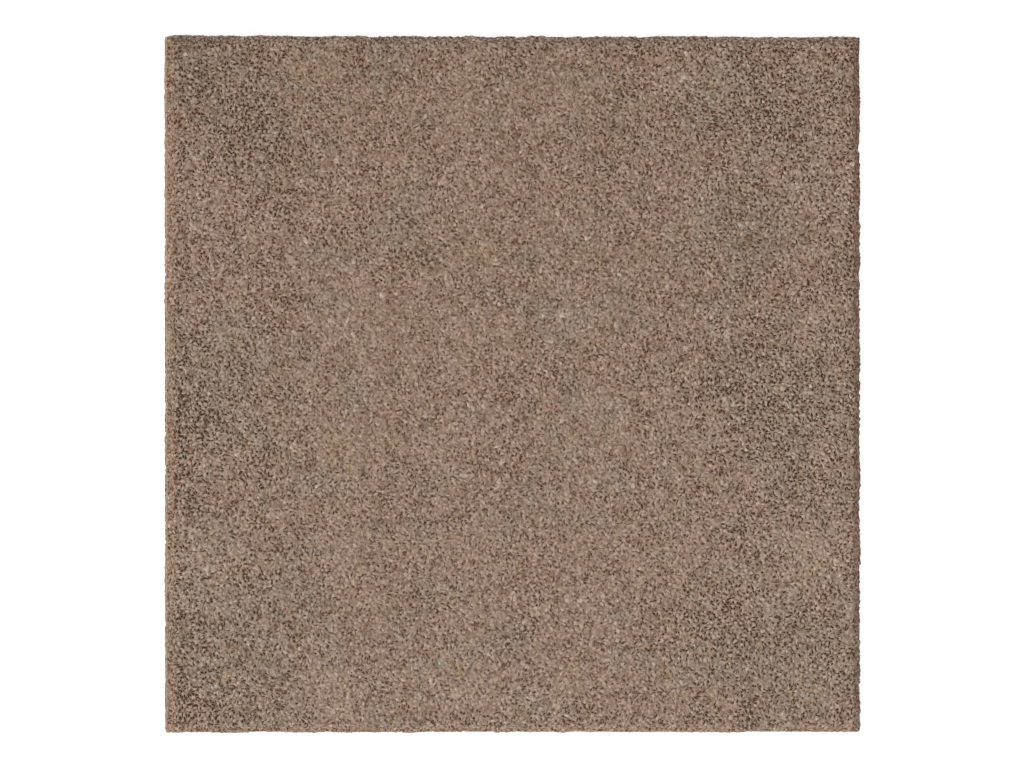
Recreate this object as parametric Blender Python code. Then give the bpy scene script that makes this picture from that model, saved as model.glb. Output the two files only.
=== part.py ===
"""Rubber floor tile: one pressed slab of bound rubber crumb, square, with a bevelled upper edge.

Metres, +Z up. The origin is the centre of the underside, so the tile lies on the plane z = 0.
"""

import math

import bmesh
import bpy

# Driving dimensions
TILE_WIDTH = 0.500  # along X
TILE_LENGTH = 0.500  # along Y
TILE_THICKNESS = 0.030
EDGE_BEVEL = 0.006  # width and height of the 45 degree bevel round the walking surface
CORNER_RADIUS = 0.003  # the upright corners and the mitres of the bevel above them
CORNER_SEGMENTS = 4
CIRCULAR_PROFILE = 0.5  # the Bevel profile that makes a quarter circle
SHARP_ANGLE = math.radians(30.0)  # the bevel's 45 degree creases stay sharp, the corners' steps don't

# Bound crumb: matt taupe brown, in linear light
CRUMB_COLOUR = (0.270, 0.188, 0.140, 1.0)
CRUMB_ROUGHNESS = 0.92


def clear_scene():
    """Remove every object that the file opened with."""
    for old in list(bpy.data.objects):
        bpy.data.objects.remove(old, do_unlink=True)


def crumb_material():
    """Matt rubber crumb held in clear resin."""
    material = bpy.data.materials.new("bound_rubber_crumb")
    material.use_nodes = True
    surface = material.node_tree.nodes["Principled BSDF"]
    surface.inputs["Base Color"].default_value = CRUMB_COLOUR
    surface.inputs["Roughness"].default_value = CRUMB_ROUGHNESS
    surface.inputs["Metallic"].default_value = 0.0
    material.diffuse_color = CRUMB_COLOUR
    return material


def plain_slab():
    """A block of the tile's full size, standing on z = 0."""
    slab = bmesh.new()
    bmesh.ops.create_cube(slab, size=1.0)
    bmesh.ops.scale(slab, vec=(TILE_WIDTH, TILE_LENGTH, TILE_THICKNESS), verts=slab.verts)
    bmesh.ops.translate(slab, vec=(0.0, 0.0, TILE_THICKNESS / 2), verts=slab.verts)
    return slab


def bevel_upper_edge(slab):
    """Cut the 45 degree bevel along the four edges of the walking surface."""
    slab.normal_update()
    walking_surface = max(slab.faces, key=lambda face: face.normal.z)
    bmesh.ops.bevel(
        slab,
        geom=list(walking_surface.edges),
        offset=EDGE_BEVEL,
        offset_type="OFFSET",
        segments=1,
        affect="EDGES",
    )


def round_corners(slab):
    """Round the edges that climb: the four upright corners and the mitres above them."""
    climbing = [edge for edge in slab.edges if edge.verts[0].co.z != edge.verts[1].co.z]
    bmesh.ops.bevel(
        slab,
        geom=climbing,
        offset=CORNER_RADIUS,
        offset_type="OFFSET",
        segments=CORNER_SEGMENTS,
        profile=CIRCULAR_PROFILE,
        affect="EDGES",
    )


def rubber_tile():
    """The whole tile as one solid."""
    slab = plain_slab()
    bevel_upper_edge(slab)
    round_corners(slab)
    mesh = bpy.data.meshes.new("rubber_tile")
    slab.to_mesh(mesh)
    slab.free()
    mesh.materials.append(crumb_material())
    mesh.shade_smooth()
    mesh.set_sharp_from_angle(angle=SHARP_ANGLE)
    return bpy.data.objects.new("rubber_tile", mesh)


def main():
    clear_scene()
    parts = bpy.data.collections.new("rubber_floor_tile")
    bpy.context.scene.collection.children.link(parts)
    parts.objects.link(rubber_tile())


main()
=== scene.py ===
"""Rubber floor tile: the pressed crumb skin over its plain slab, its underside, and a plain stage.

The skin is worked out flat, on a square that holds the walking surface and, outside it, the bevel, the
upright sides and a narrow lap under the tile, all folded out. Granules are laid on that square, each with
its own cap, creases and pits, and the whole is then folded down over the slab's section.
"""

import math

import bpy
import numpy as np
from bpy.props import FloatProperty, FloatVectorProperty, IntProperty, PointerProperty
from mathutils import Matrix, Vector
from mathutils.geometry import delaunay_2d_cdt


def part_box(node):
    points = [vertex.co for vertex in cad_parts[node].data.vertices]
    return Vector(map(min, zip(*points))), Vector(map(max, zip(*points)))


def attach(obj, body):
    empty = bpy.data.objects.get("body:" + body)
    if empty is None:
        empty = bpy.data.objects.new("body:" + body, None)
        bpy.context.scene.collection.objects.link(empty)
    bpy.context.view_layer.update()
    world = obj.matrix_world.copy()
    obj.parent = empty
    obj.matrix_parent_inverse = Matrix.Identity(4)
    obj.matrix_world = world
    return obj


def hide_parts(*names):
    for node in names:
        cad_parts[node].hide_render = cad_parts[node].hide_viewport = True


bl_info = {
    "name": "Rubber floor tile",
    "version": (1, 0, 0),
    "blender": (4, 5, 0),
    "location": "3D View > Sidebar > Rubber tile",
    "description": "Lays the bound crumb skin of a bevelled rubber floor tile over its solid",
    "category": "Add Mesh",
}

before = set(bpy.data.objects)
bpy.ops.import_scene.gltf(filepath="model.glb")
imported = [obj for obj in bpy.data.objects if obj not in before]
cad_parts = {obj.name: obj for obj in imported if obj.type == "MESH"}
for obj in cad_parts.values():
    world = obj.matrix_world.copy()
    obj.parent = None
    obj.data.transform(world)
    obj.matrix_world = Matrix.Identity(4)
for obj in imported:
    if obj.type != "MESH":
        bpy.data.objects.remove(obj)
SOLID = "rubber_tile"
BODY = "root"
SLAB_LOW, SLAB_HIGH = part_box(SOLID)
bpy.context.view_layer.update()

# Sizes of the slab, from the solid. Its bevel is the part's source's.
MM = 0.001
HALF_SIDE = (SLAB_HIGH[0] - SLAB_LOW[0]) / 2
THICKNESS = SLAB_HIGH[2] - SLAB_LOW[2]
EDGE_BEVEL = 6.0 * MM
CORNER_RADIUS = 2.4 * MM  # under the solid's, because the granules round each corner further

# The folded-out square: distances from its middle to each edge that the section turns at
FLAT_HALF = HALF_SIDE - EDGE_BEVEL
SIDE_TOP = FLAT_HALF + EDGE_BEVEL * math.sqrt(2.0)
SIDE_FOOT = SIDE_TOP + THICKNESS - EDGE_BEVEL
REACH = SIDE_FOOT + 4.0 * MM
EDGE_TURNS = ((FLAT_HALF, 45.0), (SIDE_TOP, 45.0), (SIDE_FOOT, 90.0))
TURN_BLEND = 1.2 * MM  # half the width that each turn takes
SECTION_STEPS = 6000  # steps in which the section is summed
FOOT_FADE = 2.5 * MM  # width under the tile over which the skin closes onto the underside
UNDERSIDE_STEPS = 40  # squares across the underside
NOISE_MARGIN = 1.1 * REACH  # half width of the noise lattices, past the outermost granule
RIM_SHARE = 0.25  # a granule nearer than this to the skin's rim, in spacings, is left out
TINY = 1e-9

# Granules: a lattice point's throw and a granule's lean, its cap and how far it lies below the surface
JITTER = 0.44  # how far a granule is thrown off its lattice point, in spacings
GAP_SHARE = 0.06  # lattice points left empty
SMALL_RUN = (0.85, 1.08)  # mean distance to the neighbours, in spacings, of a small and a full granule
SINK_ANY = 0.9  # how far any granule may sink, as a share of the deepest
SINK_SHAPE = (0.9, 3.0)  # most granules hardly sink
SINK_SMALL = 0.78  # how much further a small one may, because it drops between its neighbours
SINK_SMALL_POWER = 0.7
LEAN = 0.18  # spread of the caps' slopes
CAP_DRAW = (0.8, 1.2)  # how unevenly a cap is drawn in from its corners

# Pits, where three granules meet, and creases, where two touch
PIT_BY_LOOSENESS = 0.6  # how much wider the pits stand where the crumb is loose
PIT_LEAST = 0.26  # the shallowest pit, as a share of the deepest
PIT_POWER = 2.1  # how rare the deep pits are
PULL_LEAST = 0.42  # how far a closed pit draws the caps back, as a share of the way to the middle
PULL_RANGE = 0.33  # how much further an open pit does
PULL_POWER = 1.3
CREASE_LEAST = 0.28  # the shallowest crease, as a share of the deepest
CREASE_POWER = 1.5
OPEN_PIT = 0.6  # openness from which a pit counts as open, for the creases that gape
GAPE_SHARE = 0.10  # creases between two open pits that gape as well
GAPE_DEPTH = 0.7  # their depth, as a share of the shallower pit
DENSE_DEPTH = 0.78  # depth of pits and creases where the crumb is dense, as a share of the settings
LOOSE_DEPTH = 0.50  # what is added to that where it is loose
EDGE_QUICK = (0.65, 1.9 * MM, 51)  # share, cell and seed of the two waves along the sides
EDGE_SLOW = (0.35, 12.0 * MM, 52)
# left and right read the noise at this distance from its middle, in metres, and front and back at its border
SIDE_LINE = 0.3

# The press: six by six spots where it bore harder, and a dense part down the middle of the tile
PRESS_SPOTS = 6
SPOT_POWER = 1.5
DENSE_MIDDLE = -15.0 * MM
SIDE_BAND = (80.0 * MM, 190.0 * MM)  # from the dense middle to where the crumb is loosest

# Noises: cell in mm, strength, seed
# Patches: x and y of the middle and the radius in mm, then the strength
LOOSE_MEAN = 0.48
LOOSE_AT_SIDES = 0.14
LOOSE_UNDER_SPOTS = -0.10
LOOSE_BESIDE_BEVEL = 0.10
BESIDE_BEVEL = (5.0 * MM, 4.0 * MM)  # distance in from the bevel, and width
LOOSE_ON_SIDE_BEVELS = 0.22
LOOSE_ON_FAR_BEVEL = 0.36
LOOSE_ON_NEAR_BEVEL = 0.10
LOOSE_NOISES = ((22, 0.09, 12), (10, 0.13, 13))
LOOSE_PATCHES = (
    (-200, 190, 40, 0.22),
    (190, 188, 34, 0.26),
    (155, -165, 28, 0.24),
    (95, 216, 42, 0.18),
    (-125, 125, 34, 0.12),
    (208, -42, 32, 0.10),
    (212, -130, 30, -0.12),
    (190, -5, 40, 0.22),
    (-236, -30, 50, 0.22),
    (-236, -215, 30, 0.20),
    (-110, 52, 34, -0.18),
    (-110, -35, 26, -0.12),
    (-105, -136, 26, -0.14),
    (-20, -136, 30, -0.10),
    (65, -30, 30, -0.10),
    (0, 190, 34, -0.08),
)

# Brightness of the pigment, from dark crumb at 0 to pale crumb at 1, with painted shade and light on the
# bevels
TONE_MEAN = 0.29
TONE_UNDER_SPOTS = 0.08
TONE_AT_SIDES = 0.08
TONE_TO_FAR_END = -0.11
TONE_BY_LOOSENESS = 0.35
# painted shade and light: the bevels are darkened or lightened to the brightness that the light gives each
# of them
SIDE_BEVEL_PAINTED_SHADE = -0.52
FAR_BEVEL_PAINTED_LIGHT = 0.24
NEAR_BEVEL_PAINTED_SHADE = -0.31
TONE_NOISES = ((24, 0.03, 21), (9, 0.05, 22))
TONE_PATCHES = (
    (-226, 224, 36, -0.18),
    (-165, 190, 30, -0.11),
    (-120, 224, 24, -0.10),
    (-90, 236, 30, -0.07),
    (60, 236, 40, -0.08),
    (180, 196, 34, -0.06),
    (240, 226, 24, -0.10),
    (178, 96, 26, -0.11),
    (-80, 60, 22, -0.06),
    (-200, -10, 40, -0.02),
    (208, -42, 32, 0.05),
    (210, 200, 40, 0.05),
    (-200, -195, 40, -0.07),
    (150, -205, 40, -0.07),
    (-228, 138, 24, 0.10),
    (226, 142, 26, 0.14),
    (-232, -134, 30, 0.18),
    (228, -118, 30, 0.18),
    (-128, -216, 24, 0.13),
    (-28, -226, 26, 0.11),
    (22, -228, 24, 0.11),
)
TONE_DRAW = 0.19
TONE_LIMITS = (-1.0, 1.5)
PALE_SHARE = 0.01  # granules that took much more pigment than the rest
PALE_TONE = 1.35

# Cast of the pigment, from green at 0 to pink at 1: level over the middle, with green patches at the sides
PINK_MEAN = 0.62
PINK_NOISES = ((16, 0.34, 31), (8, 0.24, 32))
GREEN_PATCHES = (
    (-230, 222, 40, -0.52),
    (-180, 190, 26, -0.39),
    (-225, 0, 48, -0.52),
    (-200, -190, 55, -0.58),
    (158, 112, 36, -0.58),
    (-30, 216, 26, -0.22),
    (200, -25, 55, -0.52),
    (200, -200, 60, -0.48),
    (150, 205, 38, -0.46),
    (-85, 228, 20, -0.39),
    (60, 212, 20, -0.32),
    (-10, -30, 14, -0.26),
    (70, -70, 16, -0.26),
)
PINK_BASE = -0.08
PINK_STEP = (0.72, 0.20, 0.55)  # height of the step from green to pink, and where it starts and ends
DEEP_PINK_STEP = (0.34, 0.84, 1.10)
PINK_DRAW = 0.06

# Ochre cast: small spots, more of them over the nearer half
OCHRE_BASE = 0.13
OCHRE_NOISES = ((9, 0.5, 41), (6, 0.5, 42))
OCHRE_STEP = (0.16, 0.40)
OCHRE_ALL_OVER = 0.24
OCHRE_NEAR_HALF = 0.54
OCHRE_BETWEEN_SPOTS = 0.25
NEAR_HALF = (-100.0 * MM, 100.0 * MM)
OCHRE_OFF_SIDE_BEVELS = 0.5
OCHRE_DRAW = 0.05

# Patterns in the material
GRAIN = 0.65 * MM  # binder film and rubber dust: really about 0.2 mm, drawn coarser so that it shows
FINES = 1.8 * MM  # fine crumb bound onto the granules
# painted shade: the crumb's colour darkens with depth towards the pit colour, which stands for bare rubber
# and shade
SHADE_DEPTH = 1.8 * MM  # depth at which a pit has gone dark
SHADE_MOST = 0.85  # share of the pit colour there
NOISE_LOW, NOISE_HIGH = 0.3, 0.7  # the range that nearly all of a noise texture lies in
GRAIN_TONE = (0.68, 1.32)  # how far the grain darkens and lightens the crumb
FINES_TONE = (0.70, 1.30)  # how far the fines do
FILM_ROUGHNESS = (0.62, 0.86)
FILM_RELIEF = 0.12 * MM
FINES_RELIEF = 0.9 * MM
CHIP_CREASE = 0.12  # width of the underside's creases, in chips
CHIP_RELIEF = 0.4 * MM
BOUND_RUBBER_IOR = 1.5
MOULD_FACE_ROUGHNESS = 0.9
PAPER_ROUGHNESS = 0.9
CAST_SHARE = 0.5  # how much of a granule's colour is its cast, the rest being its brightness
BAKE_SHARE, BAKE_MARGIN = 0.98, 0.01  # how much of the bake map a quarter fills, and its border

# Stage
FLOOR_HALF = 12.0
FLOOR_DROP = 0.4 * MM
KEY_ANGLE = 40.0  # degrees across, so its shadows are soft
KEY_DIRECTION = (0.46, 0.22, -0.20)
SENSOR = 36.0
CAMERA_CLIP = 50.0
CAMERA_TARGET = (-1.8 * MM, -0.2 * MM, THICKNESS)
CAMERA_TO_LEFT = 4.3  # degrees off straight above
CAMERA_TO_FRONT = 1.0  # degrees off straight above
CAMERA_ROLL = 0.05  # degrees about the line of sight

QUARTERS = (
    ("crumb_skin_front_left", -1, -1),
    ("crumb_skin_front_right", 1, -1),
    ("crumb_skin_back_left", -1, 1),
    ("crumb_skin_back_right", 1, 1),
)


def linear(hex_colour):
    """The linear colour of an sRGB hex value."""
    channels = [int(hex_colour[i : i + 2], 16) / 255.0 for i in (1, 3, 5)]
    return [c / 12.92 if c <= 0.04045 else ((c + 0.055) / 1.055) ** 2.4 for c in channels]


def colour_property(name, description, hex_colour):
    """A colour swatch whose default is the sRGB hex value."""
    return FloatVectorProperty(
        name=name,
        description=description,
        subtype="COLOR",
        size=3,
        min=0.0,
        max=1.0,
        default=linear(hex_colour),
    )


def length_property(name, description, metres):
    """A length in metres."""
    return FloatProperty(
        name=name, description=description, default=metres, min=0.0, unit="LENGTH", subtype="DISTANCE"
    )


def strength_property(name, description, strength):
    """A light's strength."""
    return FloatProperty(name=name, description=description, default=strength, min=0.0)


class CrumbSettings(bpy.types.PropertyGroup):
    """Sizes and colours of the pressed crumb."""

    spacing: length_property("Granule spacing", "Mean distance between two granules", 3.25 * MM)
    pit_depth: length_property("Deepest pit", "Depth where three granules leave the widest gap", 2.6 * MM)
    crease_depth: length_property("Deepest crease", "Depth where two granules hardly touch", 0.95 * MM)
    sink: length_property("Deepest granule", "How far below the surface the lowest granules lie", 1.0 * MM)
    dome: length_property("Cap height", "Height of a granule's middle over its cap's edge", 0.24 * MM)
    wander: length_property("Edge wander", "How far the sides wave in and out along the tile", 2.4 * MM)
    seed: IntProperty(name="Seed", description="Number that sets the random draws", default=7)
    dark_colour: colour_property("Dark crumb", "Granules that took little pigment", "#7b6454")
    pale_colour: colour_property("Pale crumb", "Granules that took most pigment", "#b6a398")
    pink_colour: colour_property("Pink cast", "Cast over most of the tile", "#a78470")
    green_colour: colour_property("Green cast", "Cast of the patches at the sides", "#8f836e")
    ochre_colour: colour_property("Ochre cast", "Cast of the spots with a yellower binder", "#a08760")
    # painted shade: the pit colour is bare rubber together with the shade in the pits and creases
    pit_rubber_and_shade_colour: colour_property("Pits", "Bare rubber and shade at the bottom of the pits", "#673e1f")


class StageSettings(bpy.types.PropertyGroup):
    """Floor, lights and camera."""

    floor_colour: colour_property("Floor", "Plain pale floor", "#cccccc")
    floor_glow: strength_property("Floor glow", "Light that the floor gives by itself", 0.65)
    key_colour: colour_property("Key light colour", "Slightly warm", "#fffcf8")
    key_power: strength_property("Key light", "Strength of the soft light from the front left", 2.26)
    fill_colour: colour_property("Fill light colour", "Slightly cool", "#f9fcff")
    fill_power: strength_property("Fill light", "Strength of the even light from all round", 0.861)
    camera_distance: length_property("Camera distance", "Distance from the tile", 20.0)
    frame_width: length_property("Frame width", "Width of the view at the tile", 732.2 * MM)


def ease(value, low, high):
    """0 below low, 1 above high, and a smooth step between them."""
    share = np.clip((value - low) / (high - low), 0.0, 1.0)
    return share * share * (3.0 - 2.0 * share)


def soft_noise(x, y, cell, seed):
    """Random numbers from -1 to 1 on a square lattice of the given cell, eased between lattice points."""
    count = int(2.0 * NOISE_MARGIN / cell) + 4
    lattice = np.random.default_rng(seed).uniform(-1.0, 1.0, (count, count))
    u = (x + NOISE_MARGIN) / cell
    v = (y + NOISE_MARGIN) / cell
    column = np.clip(np.floor(u).astype(int), 0, count - 2)
    row = np.clip(np.floor(v).astype(int), 0, count - 2)
    u = ease(u - column, 0.0, 1.0)
    v = ease(v - row, 0.0, 1.0)
    low = lattice[row, column] * (1.0 - u) + lattice[row, column + 1] * u
    high = lattice[row + 1, column] * (1.0 - u) + lattice[row + 1, column + 1] * u
    return low * (1.0 - v) + high * v


def noises(x, y, layers):
    """Sum of soft noises, each with its own cell, strength and seed."""
    return sum(strength * soft_noise(x, y, cell * MM, seed) for cell, strength, seed in layers)


def patches(x, y, places):
    """Sum of soft round patches: each one's strength times e to minus its squared distance in radii."""
    total = np.zeros_like(x)
    for middle_x, middle_y, radius, strength in places:
        away = np.hypot(x - middle_x * MM, y - middle_y * MM) / (radius * MM)
        total += strength * np.exp(-away * away)
    return total


def press_spots(x, y):
    """1 over each of the spots where the press bore harder, falling to 0 between them.

    A raised cosine along x times one along y, to a power that narrows the spots.
    """
    turn = 2.0 * math.pi * PRESS_SPOTS / (2.0 * HALF_SIDE)
    along_x = 0.5 - 0.5 * np.cos(turn * (x + HALF_SIDE))
    along_y = 0.5 - 0.5 * np.cos(turn * (y + HALF_SIDE))
    return (along_x * along_y) ** SPOT_POWER


def side_bands(x):
    """0 over the dense middle of the tile and 1 over the looser bands along its left and right sides."""
    return ease(np.abs(x - DENSE_MIDDLE), *SIDE_BAND)


def outness(x, y):
    """Distance from the middle of the folded-out square, the larger of the two ways."""
    return np.maximum(np.abs(x), np.abs(y))


def bevels(x, y, blend):
    """1 on the left and right bevels, on the far one and on the near one, and 0 on the walking surface.

    Each is a smooth step of the given half width over the bevel's edge, and the sides keep the corners.
    """
    low, high = FLAT_HALF - blend, FLAT_HALF + blend
    at_side = ease(np.abs(x), low, high)
    return at_side, ease(y, low, high) * (1.0 - at_side), ease(-y, low, high) * (1.0 - at_side)


def looseness(x, y):
    """How loosely the crumb is packed, about 0 in dense places and 1 in loose ones.

    A mean, changed by the side bands, the press spots, a strip just inside the bevel, the bevels
    themselves, the patches and the noises, and then kept between 0 and 1.
    """
    out = outness(x, y)
    at_side, at_far, at_near = bevels(x, y, 1.0 * MM)
    beside, width = BESIDE_BEVEL
    loose = LOOSE_MEAN + LOOSE_AT_SIDES * side_bands(x) + LOOSE_UNDER_SPOTS * press_spots(x, y)
    loose = loose + LOOSE_BESIDE_BEVEL * np.exp(-(((out - FLAT_HALF + beside) / width) ** 2))
    loose = loose + LOOSE_ON_SIDE_BEVELS * at_side + LOOSE_ON_FAR_BEVEL * at_far
    loose = loose + LOOSE_ON_NEAR_BEVEL * at_near
    loose = loose + patches(x, y, LOOSE_PATCHES) + noises(x, y, LOOSE_NOISES)
    return np.clip(loose, 0.0, 1.0)


def tones(x, y, rng):
    """Each granule's brightness, pinkness and ochre cast.

    Places, slow noises and a draw of the granule's own are summed. Pinkness and ochre then go through a
    step, because the casts change over a short way.
    """
    spots = press_spots(x, y)
    own = rng.normal(0.0, 1.0, (3,) + x.shape)
    at_side, at_far, at_near = bevels(x, y, 2.0 * MM)
    tone = TONE_MEAN + TONE_UNDER_SPOTS * spots + TONE_AT_SIDES * side_bands(x)
    tone = tone + TONE_TO_FAR_END * y / HALF_SIDE + TONE_BY_LOOSENESS * looseness(x, y)
    # painted shade on the side and near bevels and painted light on the far one
    tone = tone + SIDE_BEVEL_PAINTED_SHADE * at_side + FAR_BEVEL_PAINTED_LIGHT * at_far + NEAR_BEVEL_PAINTED_SHADE * at_near
    tone = tone + patches(x, y, TONE_PATCHES) + noises(x, y, TONE_NOISES) + TONE_DRAW * own[0]
    tone = np.where(rng.random(x.shape) < PALE_SHARE, PALE_TONE, tone)

    cast = PINK_MEAN + patches(x, y, GREEN_PATCHES) + noises(x, y, PINK_NOISES)
    pink = PINK_BASE + PINK_DRAW * own[1]
    for height, start, end in (PINK_STEP, DEEP_PINK_STEP):
        pink = pink + height * ease(cast, start, end)

    near = ease(-y, *NEAR_HALF) * (OCHRE_BETWEEN_SPOTS + spots)
    ochre = ease(noises(x, y, OCHRE_NOISES), *OCHRE_STEP) * (OCHRE_ALL_OVER + OCHRE_NEAR_HALF * near)
    ochre = OCHRE_BASE + ochre * (1.0 - OCHRE_OFF_SIDE_BEVELS * at_side) + OCHRE_DRAW * own[2]
    return np.clip(tone, *TONE_LIMITS), np.clip(pink, 0.0, 1.0), np.clip(ochre, 0.0, 1.0)


def edge_wander(x, y, most):
    """How far the side is pressed in at each place along it, the same from its top to its foot.

    Two noises along the side, from 0 to the most, each with its share.
    """
    wide = np.abs(x) >= np.abs(y)
    along = np.where(wide, y, x)
    side = SIDE_LINE * np.where(wide, np.sign(x), 2.0 * np.sign(y))
    pressed = np.zeros_like(x)
    for share, cell, seed in (EDGE_QUICK, EDGE_SLOW):
        pressed += share * (0.5 + 0.5 * soft_noise(along, side, cell, seed))
    return most * pressed * ease(outness(x, y), FLAT_HALF, SIDE_TOP)


def section():
    """The slab's section along its surface from the middle of the top: distance, outward, up, turn.

    The direction turns by a smooth step at each edge, from flat to 45 degrees to straight down to facing
    back under the tile. Its cosine and sine are summed into the outward and downward run, and both are
    stretched to the slab's size.
    """
    along = np.linspace(0.0, REACH, SECTION_STEPS + 1)
    turn = np.zeros_like(along)
    for edge, degrees in EDGE_TURNS:
        turn += math.radians(degrees) * ease(along, edge - TURN_BLEND, edge + TURN_BLEND)
    middle = (turn[1:] + turn[:-1]) / 2.0
    outward = np.concatenate([[0.0], np.cumsum(np.cos(middle))])
    fall = np.concatenate([[0.0], np.cumsum(np.sin(middle))])
    return along, outward * HALF_SIDE / outward.max(), THICKNESS * (1.0 - fall / fall.max()), turn


def folded(x, y, depth):
    """Fold flat points down over the slab, each pushed in by its depth.

    The distance from the middle is a rounded-square one, (|x|^p + |y|^p)^(1/p), so the corners come out
    with their radius. The section gives where that distance lies, and the depth is taken along the
    surface's own inward direction there.
    """
    corner_cut = CORNER_RADIUS * (1.0 - math.sqrt(0.5)) / HALF_SIDE
    power = math.log(2.0) / -math.log(1.0 - corner_cut)
    largest = np.maximum(outness(x, y), TINY)
    share_x = np.abs(x) / largest
    share_y = np.abs(y) / largest
    rounded = largest * (share_x**power + share_y**power) ** (1.0 / power)
    along, outward, up, turn = section()
    at = np.minimum(rounded, REACH)
    scale = np.interp(at, along, outward) / np.maximum(rounded, TINY)
    lean = np.interp(at, along, turn)
    slope_x = np.sign(x) * share_x ** (power - 1.0)
    slope_y = np.sign(y) * share_y ** (power - 1.0)
    length = np.maximum(np.hypot(slope_x, slope_y), TINY)
    normal = np.stack([np.sin(lean) * slope_x / length, np.sin(lean) * slope_y / length, np.cos(lean)], 1)
    place = np.stack([x * scale, y * scale, np.interp(at, along, up)], 1)
    place -= normal * depth[:, None]
    place[:, 2] = np.maximum(place[:, 2], 0.0)
    return place


def granule_middles(spacing, rng):
    """Middles of the granules on the flat square: a six-way lattice with every point thrown off it."""
    rise = spacing * math.sqrt(0.75)
    start = REACH + 3.0 * spacing
    columns = np.arange(int(2.0 * start / spacing) + 1)
    rows = np.arange(int(2.0 * start / rise) + 1)
    column, row = np.meshgrid(columns, rows)
    x = (column + 0.5 * (row % 2)) * spacing - start
    y = row * rise - start
    x = x + rng.uniform(-JITTER, JITTER, x.shape) * spacing
    y = y + rng.uniform(-JITTER, JITTER, y.shape) * spacing
    kept = rng.random(x.shape) > GAP_SHARE
    return np.stack([x[kept], y[kept]], 1)


def triangulated(points):
    """Blender's own Delaunay triangles over the points, all counter-clockwise."""
    found = delaunay_2d_cdt([Vector(p) for p in points.tolist()], [], [], 0, TINY, False)
    middles = np.array([tuple(p) for p in found[0]])
    triangles = np.array(found[2])
    a, b, c = (middles[triangles[:, k]] for k in range(3))
    area = (b[:, 0] - a[:, 0]) * (c[:, 1] - a[:, 1]) - (b[:, 1] - a[:, 1]) * (c[:, 0] - a[:, 0])
    turned = area < 0.0
    triangles[turned] = triangles[turned][:, ::-1]
    return middles, triangles


def drawn_depth(draw, least, power, deepest, loose):
    """Depth of a pit or crease: from its least share to the deepest by a power, more where it is loose."""
    share = least + (1.0 - least) * draw**power
    return share * deepest * (DENSE_DEPTH + LOOSE_DEPTH * loose)


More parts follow.
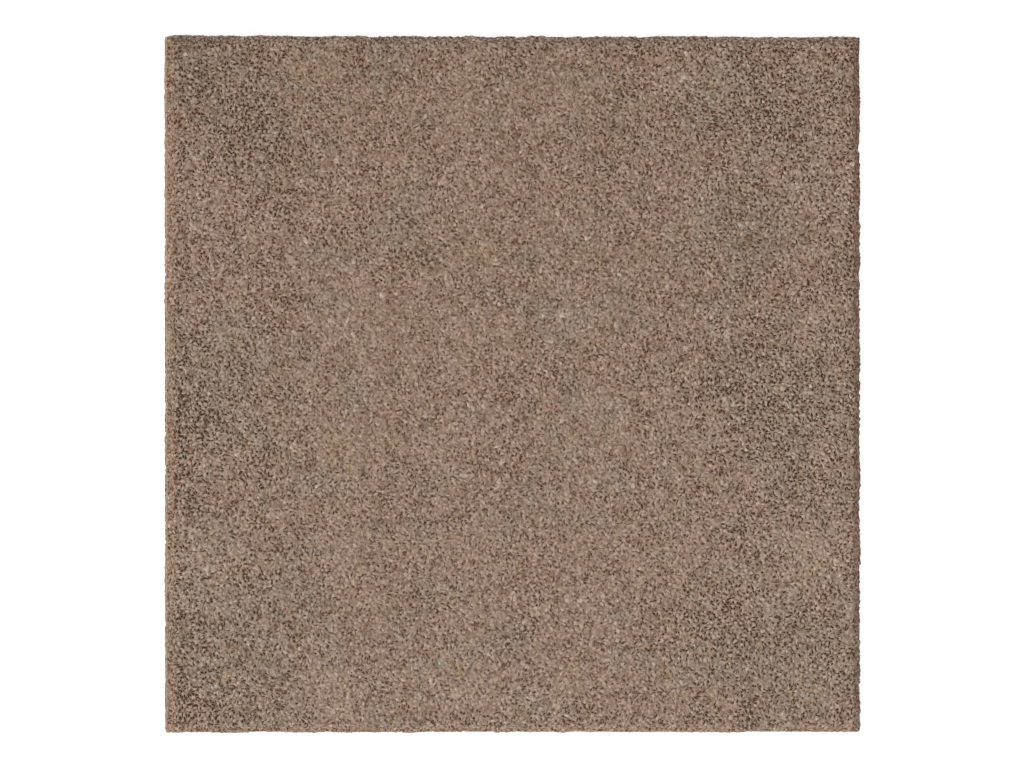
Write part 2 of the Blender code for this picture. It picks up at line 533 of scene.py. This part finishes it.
def crumb_skin(settings):
    """The whole skin of granules as arrays.

    Each granule is the cell round one Delaunay point. It has a middle, a ring of cap points drawn in from
    the cell's corners, and it shares with its neighbours the cell's corners, which are the pits, and a
    point on each side of the cell, which is the crease where two granules touch.
    """
    rng = np.random.default_rng(settings.seed)
    middles, triangles = triangulated(granule_middles(settings.spacing, rng))
    count = len(middles)
    whole = outness(middles[:, 0], middles[:, 1]) < REACH - RIM_SHARE * settings.spacing

    # half edges: granule, neighbour and the triangle on the left, then the same edge from the other side
    granule = triangles.ravel()
    neighbour = np.roll(triangles, -1, axis=1).ravel()
    left = np.repeat(np.arange(len(triangles)), 3)
    key = granule.astype(np.int64) * count + neighbour
    order = np.argsort(key)
    reverse = neighbour.astype(np.int64) * count + granule
    other = order[np.minimum(np.searchsorted(key[order], reverse), len(order) - 1)]
    use = whole[granule] & (key[other] == reverse)
    right = left[other]
    first = np.minimum(np.arange(len(granule)), other)

    # pits at the triangles
    pit = middles[triangles].mean(axis=1)
    pit_loose = looseness(pit[:, 0], pit[:, 1])
    openness = np.clip(rng.random(len(pit)) + PIT_BY_LOOSENESS * (pit_loose - 0.5), 0.0, 1.0)
    pit_depth = drawn_depth(openness, PIT_LEAST, PIT_POWER, settings.pit_depth, pit_loose)
    pull = PULL_LEAST + PULL_RANGE * openness**PULL_POWER

    # creases at the half edges, the same for the two granules that touch there
    crease = (middles[granule] + middles[neighbour]) / 4.0 + (pit[left] + pit[right]) / 4.0
    crease_loose = looseness(crease[:, 0], crease[:, 1])
    crease_draw = rng.random(len(granule))[first]
    crease_depth = drawn_depth(crease_draw, CREASE_LEAST, CREASE_POWER, settings.crease_depth, crease_loose)
    both_open = np.minimum(openness[left], openness[right]) > OPEN_PIT
    gaping = both_open & (rng.random(len(granule))[first] < GAPE_SHARE)
    shallower = np.minimum(pit_depth[left], pit_depth[right])
    crease_depth = np.where(gaping, GAPE_DEPTH * shallower, crease_depth)

    # the granule's own height and lean, and its ring of cap points
    run = np.hypot(*(middles[neighbour] - middles[granule]).T)
    mean_run = np.bincount(granule, run, count) / np.maximum(np.bincount(granule, minlength=count), 1)
    small = 1.0 - ease(mean_run / settings.spacing, *SMALL_RUN)
    sink = SINK_ANY * rng.beta(*SINK_SHAPE, count)
    sink = sink + SINK_SMALL * small * rng.random(count) ** SINK_SMALL_POWER
    sunk = settings.sink * sink
    lean = rng.normal(0.0, LEAN, (count, 2))
    drawn_in = pull[left] * rng.uniform(*CAP_DRAW, len(granule))
    offset = (pit[left] - middles[granule]) * (1.0 - drawn_in)[:, None]
    cap_depth = sunk[granule] + settings.dome + np.sum(offset * lean[granule], axis=1)

    # number the points: middles, pits, creases, caps
    pit_id = count + np.arange(len(pit))
    crease_id = count + len(pit) + np.arange(len(granule))
    cap_id = count + len(pit) + len(granule) + np.arange(len(granule))
    place = np.concatenate([middles, pit, crease, middles[granule] + offset])
    depth = np.concatenate([sunk, pit_depth, crease_depth, np.maximum(cap_depth, 0.0)])

    # a granule's cap point at the triangle on the right belongs to that triangle's half edge out of it
    edge = np.nonzero(use)[0]
    owner = granule[edge]
    cap_left = cap_id[edge]
    cap_right = cap_id[right[edge] * 3 + np.argmax(triangles[right[edge]] == owner[:, None], axis=1)]
    mid = crease_id[first[edge]]
    faces = np.concatenate(
        [
            np.stack([owner, cap_right, cap_left], 1),
            np.stack([cap_right, pit_id[right[edge]], mid], 1),
            np.stack([cap_right, mid, cap_left], 1),
            np.stack([cap_left, mid, pit_id[left[edge]]], 1),
        ]
    )

    # the skin's own rim is drawn out to a straight line under the tile, where it meets the underside
    sides = np.sort(np.concatenate([faces[:, [0, 1]], faces[:, [1, 2]], faces[:, [2, 0]]]), axis=1)
    values, counts = np.unique(sides[:, 0].astype(np.int64) * len(place) + sides[:, 1], return_counts=True)
    rim_key = values[counts == 1]
    rim = np.unique(np.concatenate([rim_key // len(place), rim_key % len(place)]))
    place = np.clip(place, -REACH, REACH)
    wide = np.abs(place[rim, 0]) >= np.abs(place[rim, 1])
    place[rim, 0] = np.where(wide, np.sign(place[rim, 0]) * REACH, place[rim, 0])
    place[rim, 1] = np.where(wide, place[rim, 1], np.sign(place[rim, 1]) * REACH)
    depth[rim] = 0.0
    foot = np.clip((REACH - outness(place[:, 0], place[:, 1])) / FOOT_FADE, 0.0, 1.0)
    pressed = (depth + edge_wander(place[:, 0], place[:, 1], settings.wander)) * foot
    valley = np.zeros(len(place), dtype=bool)
    valley[count : count + len(pit) + len(granule)] = True
    return {
        "flat": place,
        "pressed": pressed,
        "depth": depth * foot,
        "faces": faces,
        "owner": np.tile(owner, 4),
        "middles": middles,
        "valley": valley,
        "rng": rng,
    }


def put_mesh(name, points, faces, material):
    """A new mesh object at the origin from arrays of points and of triangles or quads."""
    mesh = bpy.data.meshes.new(name)
    sides = faces.shape[1]
    mesh.vertices.add(len(points))
    mesh.vertices.foreach_set("co", points.astype(np.float32).ravel())
    mesh.loops.add(faces.size)
    mesh.loops.foreach_set("vertex_index", faces.astype(np.int32).ravel())
    mesh.polygons.add(len(faces))
    mesh.polygons.foreach_set("loop_start", np.arange(len(faces), dtype=np.int32) * sides)
    mesh.update(calc_edges=True)
    mesh.validate()
    if len(mesh.polygons) != len(faces):
        raise RuntimeError(f"{name} lost faces")
    mesh.materials.append(material)
    piece = bpy.data.objects.new(name, mesh)
    bpy.context.scene.collection.objects.link(piece)
    return piece


def put_attribute(mesh, name, kind, domain, values):
    """Give the mesh an attribute with one value for each point, edge or corner."""
    mesh.attributes.new(name, kind, domain).data.foreach_set("value", values)


def stands_for_slab(piece):
    """Let a finished piece ride on the tile's body, in place of the plain solid."""
    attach(piece, BODY)
    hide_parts(SOLID)


def node(tree, kind, settings=None, values=None, links=None):
    """Add a node, set its properties and unlinked sockets, and link the sockets named in links."""
    added = tree.nodes.new(kind)
    for name, value in (settings or {}).items():
        setattr(added, name, value)
    for socket, value in (values or {}).items():
        added.inputs[socket].default_value = value
    for socket, source in (links or {}).items():
        tree.links.new(source, added.inputs[socket])
    return added


def new_material(name):
    """A material with an empty node tree."""
    material = bpy.data.materials.new(name)
    material.use_nodes = True
    material.node_tree.nodes.clear()
    return material


def rgba(colour):
    """A colour with full alpha."""
    return (colour[0], colour[1], colour[2], 1.0)


def crumb_material(settings):
    """Shredded tyre rubber coated with pigmented polyurethane binder and hot pressed.

    The binder dries to a thin satin film over matt rubber. The eye sees dull granules with a faint sheen on
    their caps, no two of quite the same brown. Their colour darkens with depth to near black in the pits:
    bare rubber there, and painted shade over the flanks, creases and pits.
    """
    material = new_material("pigmented_bound_rubber_crumb_hot_pressed")
    tree = material.node_tree
    tone = node(tree, "ShaderNodeAttribute", {"attribute_name": "tone"})
    pink = node(tree, "ShaderNodeAttribute", {"attribute_name": "pink"})
    ochre = node(tree, "ShaderNodeAttribute", {"attribute_name": "ochre"})
    depth = node(tree, "ShaderNodeAttribute", {"attribute_name": "depth"})
    where = node(tree, "ShaderNodeTexCoord")
    grain = node(
        tree,
        "ShaderNodeTexNoise",
        {"noise_dimensions": "3D"},
        {"Scale": 1.0 / GRAIN, "Detail": 2.0, "Roughness": 0.6},
        {"Vector": where.outputs["Object"]},
    )
    fines = node(
        tree,
        "ShaderNodeTexNoise",
        {"noise_dimensions": "3D"},
        {"Scale": 1.0 / FINES, "Detail": 1.0, "Roughness": 0.5},
        {"Vector": where.outputs["Object"]},
    )

    # the granule's own colour: half its brightness, half its cast
    dark_pale = node(
        tree,
        "ShaderNodeMix",
        {"data_type": "RGBA", "clamp_factor": False},
        {6: rgba(settings.dark_colour), 7: rgba(settings.pale_colour)},
        {0: tone.outputs["Fac"]},
    )
    green_pink = node(
        tree,
        "ShaderNodeMix",
        {"data_type": "RGBA"},
        {6: rgba(settings.green_colour), 7: rgba(settings.pink_colour)},
        {0: pink.outputs["Fac"]},
    )
    cast = node(
        tree,
        "ShaderNodeMix",
        {"data_type": "RGBA"},
        {7: rgba(settings.ochre_colour)},
        {0: ochre.outputs["Fac"], 6: green_pink.outputs[2]},
    )
    body = node(
        tree,
        "ShaderNodeMix",
        {"data_type": "RGBA"},
        {0: CAST_SHARE},
        {6: dark_pale.outputs[2], 7: cast.outputs[2]},
    )

    # film grain and bound fines lighten and darken it
    grain_tone = node(
        tree,
        "ShaderNodeMapRange",
        {},
        {"From Min": NOISE_LOW, "From Max": NOISE_HIGH, "To Min": GRAIN_TONE[0], "To Max": GRAIN_TONE[1]},
        {"Value": grain.outputs["Fac"]},
    )
    fines_tone = node(
        tree,
        "ShaderNodeMapRange",
        {},
        {"From Min": NOISE_LOW, "From Max": NOISE_HIGH, "To Min": FINES_TONE[0], "To Max": FINES_TONE[1]},
        {"Value": fines.outputs["Fac"]},
    )
    grained = node(
        tree,
        "ShaderNodeVectorMath",
        {"operation": "SCALE"},
        {},
        {0: body.outputs[2], "Scale": grain_tone.outputs["Result"]},
    )
    speckled = node(
        tree,
        "ShaderNodeVectorMath",
        {"operation": "SCALE"},
        {},
        {0: grained.outputs["Vector"], "Scale": fines_tone.outputs["Result"]},
    )

    # pits and creases darken with their depth: painted shade, over the dark of the bare rubber
    shade = node(
        tree,
        "ShaderNodeMapRange",
        {"interpolation_type": "SMOOTHSTEP"},
        {"From Min": 0.0, "From Max": SHADE_DEPTH, "To Min": 0.0, "To Max": SHADE_MOST},
        {"Value": depth.outputs["Fac"]},
    )
    coloured = node(
        tree,
        "ShaderNodeMix",
        {"data_type": "RGBA"},
        {7: rgba(settings.pit_rubber_and_shade_colour)},
        {0: shade.outputs["Result"], 6: speckled.outputs["Vector"]},
    )
    film_relief = node(
        tree,
        "ShaderNodeBump",
        {},
        {"Strength": 0.5, "Distance": FILM_RELIEF},
        {"Height": grain.outputs["Fac"]},
    )
    fines_relief = node(
        tree,
        "ShaderNodeBump",
        {},
        {"Strength": 1.0, "Distance": FINES_RELIEF},
        {"Height": fines.outputs["Fac"], "Normal": film_relief.outputs["Normal"]},
    )
    rough = node(
        tree,
        "ShaderNodeMapRange",
        {},
        {
            "From Min": NOISE_LOW,
            "From Max": NOISE_HIGH,
            "To Min": FILM_ROUGHNESS[0],
            "To Max": FILM_ROUGHNESS[1],
        },
        {"Value": grain.outputs["Fac"]},
    )
    surface = node(
        tree,
        "ShaderNodeBsdfPrincipled",
        {},
        {"IOR": BOUND_RUBBER_IOR, "Metallic": 0.0},
        {
            "Base Color": coloured.outputs[2],
            "Roughness": rough.outputs["Result"],
            "Normal": fines_relief.outputs["Normal"],
        },
    )
    node(tree, "ShaderNodeOutputMaterial", {}, {}, {"Surface": surface.outputs["BSDF"]})
    return material


def underside_material(settings):
    """The same crumb pressed flat against the bottom of the mould.

    The granules are squeezed into a closed matt face, so the eye sees flat chips of slightly different
    brown with fine dark creases between them, painted in bare rubber and shade.
    """
    material = new_material("bound_rubber_crumb_mould_face")
    tree = material.node_tree
    where = node(tree, "ShaderNodeTexCoord")
    cells = node(
        tree,
        "ShaderNodeTexVoronoi",
        {"feature": "DISTANCE_TO_EDGE"},
        {"Scale": 1.0 / settings.spacing},
        {"Vector": where.outputs["Object"]},
    )
    chips = node(
        tree,
        "ShaderNodeTexVoronoi",
        {"feature": "F1"},
        {"Scale": 1.0 / settings.spacing},
        {"Vector": where.outputs["Object"]},
    )
    crease = node(
        tree,
        "ShaderNodeMapRange",
        {},
        {"From Min": 0.0, "From Max": CHIP_CREASE, "To Min": 0.0, "To Max": 1.0},
        {"Value": cells.outputs["Distance"]},
    )
    tone = node(tree, "ShaderNodeSeparateColor", {}, {}, {"Color": chips.outputs["Color"]})
    crumb = node(
        tree,
        "ShaderNodeMix",
        {"data_type": "RGBA"},
        {6: rgba(settings.dark_colour), 7: rgba(settings.pink_colour)},
        {0: tone.outputs["Red"]},
    )
    # painted shade: the creases are painted in the pit colour, bare rubber with shade
    coloured = node(
        tree,
        "ShaderNodeMix",
        {"data_type": "RGBA"},
        {6: rgba(settings.pit_rubber_and_shade_colour)},
        {0: crease.outputs["Result"], 7: crumb.outputs[2]},
    )
    relief = node(
        tree,
        "ShaderNodeBump",
        {},
        {"Strength": 0.7, "Distance": CHIP_RELIEF},
        {"Height": crease.outputs["Result"]},
    )
    surface = node(
        tree,
        "ShaderNodeBsdfPrincipled",
        {},
        {"IOR": BOUND_RUBBER_IOR, "Roughness": MOULD_FACE_ROUGHNESS},
        {"Base Color": coloured.outputs[2], "Normal": relief.outputs["Normal"]},
    )
    node(tree, "ShaderNodeOutputMaterial", {}, {}, {"Surface": surface.outputs["BSDF"]})
    return material


def floor_material(settings):
    """Matt white studio paper, which gives the eye a plain pale ground with hardly a shadow on it."""
    material = new_material("matt_studio_paper")
    tree = material.node_tree
    surface = node(
        tree,
        "ShaderNodeBsdfPrincipled",
        {},
        {
            "Base Color": rgba(settings.floor_colour),
            "Roughness": PAPER_ROUGHNESS,
            "Specular IOR Level": 0.1,
            "Emission Color": (1.0, 1.0, 1.0, 1.0),
            "Emission Strength": settings.floor_glow,
        },
    )
    node(tree, "ShaderNodeOutputMaterial", {}, {}, {"Surface": surface.outputs["BSDF"]})
    return material


class TILE_OT_crumb_skin(bpy.types.Operator):
    """Lay the four quarters of the crumb skin over the slab"""

    bl_idname = "tile.crumb_skin"
    bl_label = "Crumb skin"

    def execute(self, context):
        settings = context.scene.tile_crumb
        skin = crumb_skin(settings)
        flat, faces, owner, middles = skin["flat"], skin["faces"], skin["owner"], skin["middles"]
        points = folded(flat[:, 0], flat[:, 1], skin["pressed"])
        tone, pink, ochre = tones(middles[:, 0], middles[:, 1], skin["rng"])
        material = crumb_material(settings)
        right = middles[owner, 0] >= 0.0
        back = middles[owner, 1] >= 0.0
        for name, side_x, side_y in QUARTERS:
            mine = (right == (side_x > 0)) & (back == (side_y > 0))
            used, local = np.unique(faces[mine], return_inverse=True)
            piece = put_mesh(name, points[used], local.reshape(-1, 3), material)
            mesh = piece.data
            corner_owner = np.repeat(owner[mine], 3)
            for label, values in (("tone", tone), ("pink", pink), ("ochre", ochre)):
                put_attribute(mesh, label, "FLOAT", "CORNER", values[corner_owner].astype(np.float32))
            put_attribute(mesh, "depth", "FLOAT", "POINT", skin["depth"][used].astype(np.float32))

            # the bake map is the flat square itself, so no two granules share a place on it
            unfolded = mesh.uv_layers.new(name="OFBake")
            spread = np.abs(flat[faces[mine].ravel()]) / REACH * BAKE_SHARE + BAKE_MARGIN
            if side_x * side_y < 0:
                spread[:, 0] = 1.0 - spread[:, 0]
            unfolded.data.foreach_set("uv", spread.astype(np.float32).ravel())

            # smooth caps that break along the valleys
            mesh.shade_smooth()
            ends = np.empty(2 * len(mesh.edges), dtype=np.int32)
            mesh.edges.foreach_get("vertices", ends)
            crisp = skin["valley"][used][ends.reshape(-1, 2)].all(axis=1)
            put_attribute(mesh, "sharp_edge", "BOOLEAN", "EDGE", crisp)
            stands_for_slab(piece)
        return {"FINISHED"}


class TILE_OT_underside(bpy.types.Operator):
    """Close the tile with its flat underside"""

    bl_idname = "tile.underside"
    bl_label = "Underside"

    def execute(self, context):
        # a square grid drawn in from the skin's own rim: rim point times its share of the way out
        steps = UNDERSIDE_STEPS
        line = np.linspace(-REACH, REACH, steps + 1)
        u, v = (grid.ravel() for grid in np.meshgrid(line, line))
        out = np.maximum(outness(u, v), TINY)
        points = folded(u * REACH / out, v * REACH / out, np.zeros(len(u))) * (out / REACH)[:, None]
        points[:, 2] = 0.0
        corner = np.arange(steps * (steps + 1)).reshape(steps, steps + 1)[:, :steps].ravel()
        faces = np.stack([corner, corner + steps + 1, corner + steps + 2, corner + 1], 1)
        material = underside_material(context.scene.tile_crumb)
        stands_for_slab(put_mesh("crumb_underside", points, faces, material))
        return {"FINISHED"}


class TILE_OT_stage(bpy.types.Operator):
    """Make the plain pale floor, the soft lights and the camera"""

    bl_idname = "tile.stage"
    bl_label = "Stage"

    def execute(self, context):
        settings = context.scene.tile_stage
        scene = context.scene
        scene.view_settings.view_transform = "Standard"

        line = np.array([-1.0, 1.0]) * FLOOR_HALF
        corners = np.stack([line[[0, 1, 1, 0]], line[[0, 0, 1, 1]], np.full(4, -FLOOR_DROP)], 1)
        put_mesh("floor", corners, np.array([[0, 1, 2, 3]]), floor_material(settings))

        world = bpy.data.worlds.new("soft_room")
        world.use_nodes = True
        background = world.node_tree.nodes["Background"]
        background.inputs["Color"].default_value = rgba(settings.fill_colour)
        background.inputs["Strength"].default_value = settings.fill_power
        scene.world = world

        key = bpy.data.lights.new("key", "SUN")
        key.energy = settings.key_power
        key.color = settings.key_colour
        key.angle = math.radians(KEY_ANGLE)
        lamp = bpy.data.objects.new("key", key)
        lamp.rotation_euler = Vector(KEY_DIRECTION).to_track_quat("-Z", "Y").to_euler()
        scene.collection.objects.link(lamp)

        lens = bpy.data.cameras.new("camera")
        lens.sensor_width = SENSOR
        lens.lens = SENSOR * settings.camera_distance / settings.frame_width
        lens.clip_end = CAMERA_CLIP
        to_left, to_front, roll = (math.radians(a) for a in (CAMERA_TO_LEFT, CAMERA_TO_FRONT, CAMERA_ROLL))
        away = Vector((-math.sin(to_left), -math.sin(to_front), 1.0)).normalized()
        right = Vector((math.sin(roll), 1.0, 0.0)).cross(away).normalized()
        turn = Matrix((right, away.cross(right), away)).transposed().to_4x4()
        camera = bpy.data.objects.new("camera", lens)
        place = Vector(CAMERA_TARGET) + away * settings.camera_distance
        camera.matrix_world = Matrix.Translation(place) @ turn
        scene.collection.objects.link(camera)
        scene.camera = camera
        return {"FINISHED"}


class TILE_PT_panel(bpy.types.Panel):
    """Sidebar panel that lists the tile's pieces and their settings"""

    bl_idname = "TILE_PT_panel"
    bl_label = "Rubber tile"
    bl_space_type = "VIEW_3D"
    bl_region_type = "UI"
    bl_category = "Rubber tile"

    def draw(self, context):
        for settings, operators in (
            (context.scene.tile_crumb, (TILE_OT_crumb_skin, TILE_OT_underside)),
            (context.scene.tile_stage, (TILE_OT_stage,)),
        ):
            box = self.layout.box()
            for name in settings.__annotations__:
                box.prop(settings, name)
            for operator in operators:
                box.operator(operator.bl_idname)


CLASSES = (
    CrumbSettings,
    StageSettings,
    TILE_OT_crumb_skin,
    TILE_OT_underside,
    TILE_OT_stage,
    TILE_PT_panel,
)


def register():
    """Register the classes and hang their settings on the scene."""
    for cls in CLASSES:
        bpy.utils.register_class(cls)
    bpy.types.Scene.tile_crumb = PointerProperty(type=CrumbSettings)
    bpy.types.Scene.tile_stage = PointerProperty(type=StageSettings)


def unregister():
    """Take the settings and the classes away again."""
    del bpy.types.Scene.tile_stage
    del bpy.types.Scene.tile_crumb
    for cls in reversed(CLASSES):
        bpy.utils.unregister_class(cls)


def main():
    register()
    bpy.ops.tile.crumb_skin()
    bpy.ops.tile.underside()
    bpy.ops.tile.stage()


if __name__ == "__main__":
    main()
